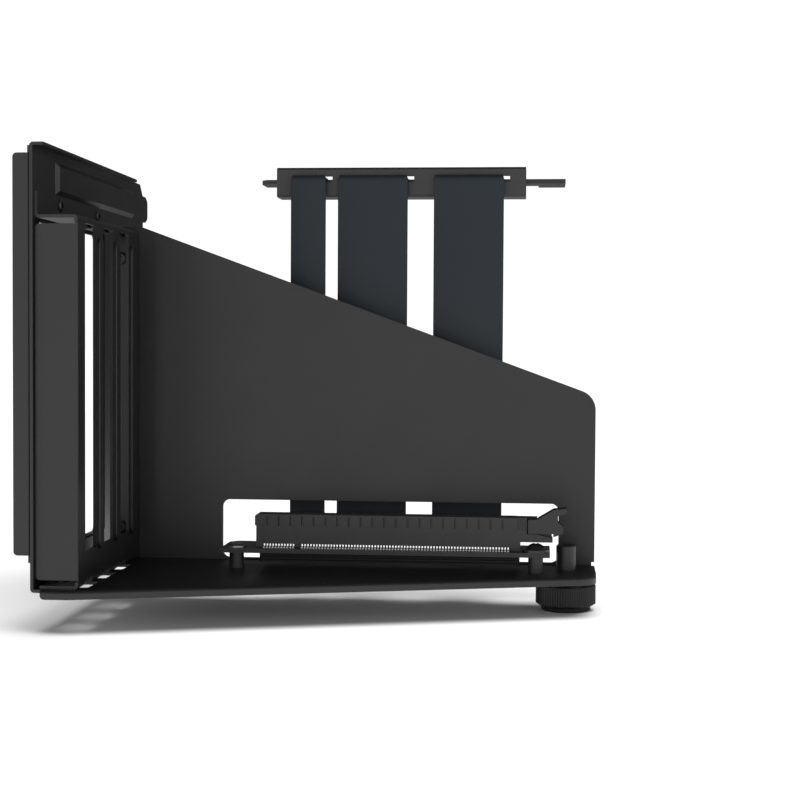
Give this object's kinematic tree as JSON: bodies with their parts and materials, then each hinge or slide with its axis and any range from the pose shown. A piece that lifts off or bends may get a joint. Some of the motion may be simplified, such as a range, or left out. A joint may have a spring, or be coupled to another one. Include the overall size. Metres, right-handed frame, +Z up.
{
  "type": "vertical gpu mount",
  "caption": "Folded steel bracket that holds an expansion card upright at a case's rear opening, with slotted frame, riser socket and latch, flat ribbon cable, plug and levelling foot",
  "frame": {"origin": "on the outer face of the rear plate, in line with the panel's front face, at half the plate's height", "axes": "+X from the rear plate to the free end, +Y from the card side to the mainboard side, +Z up"},
  "size_m": [0.1814, 0.1453, 0.1533],
  "materials": {
    "powder_coat": "fine-textured black powder coat",
    "coated_screw": "black coated steel",
    "board_mask": "black solder mask",
    "moulding": "moulded, matt",
    "ribbon_jacket": "smooth flat jacket",
    "tinned_contact": "tinned",
    "gilt_contact": "gold flash",
    "knob_metal": "black anodised, knurled",
    "pad_rubber": "matt black"
  },
  "bodies": {
    "mount": {"bracket": "powder_coat", "slot_frame": "powder_coat", "rear_plate": "powder_coat", "wall_rivets": "coated_screw", "panel_rivets": "coated_screw", "base_rivets": "coated_screw", "riser_board": "board_mask", "standoff_left": "coated_screw", "standoff_right": "coated_screw", "board_screw_left": "coated_screw", "board_screw_right": "coated_screw", "board_washer": "coated_screw", "slot_housing": "moulding", "slot_contacts_near": "tinned_contact", "slot_contacts_far": "tinned_contact", "lower_cover": "moulding", "plug_board": "board_mask", "plug_shell_lower": "moulding", "plug_shell_upper": "moulding", "plug_fingers_upper": "gilt_contact", "plug_fingers_lower": "gilt_contact", "foot_bush": "coated_screw", "ribbon_1": "ribbon_jacket", "ribbon_2": "ribbon_jacket", "ribbon_3": "ribbon_jacket"},
    "foot_carrier": {"foot_pad": "pad_rubber"},
    "foot_screw": {"foot_stud": "coated_screw", "foot_knob": "knob_metal"},
    "latch": {"slot_latch": "moulding"}
  },
  "joints": [
    {"name": "foot_lift", "type": "slide", "parent": "mount", "child": "foot_carrier", "axis": [0, 0, 1], "range_m": [-0.0057, 0.0022]},
    {"name": "foot_turn", "type": "hinge", "parent": "foot_carrier", "child": "foot_screw", "pos_m": [0.16695, -0.0103, -0.08], "axis": [0, 0, 1], "range_deg": [-2880, 1080]},
    {"name": "latch_tilt", "type": "hinge", "parent": "mount", "child": "latch", "pos_m": [0.157, -0.01645, -0.061], "axis": [0, 1, 0], "range_deg": [0, 15]}
  ],
  "couplings": [
    {"joint": "foot_lift", "follows": "foot_turn", "m_per_rad": 0.00011141}
  ]
}
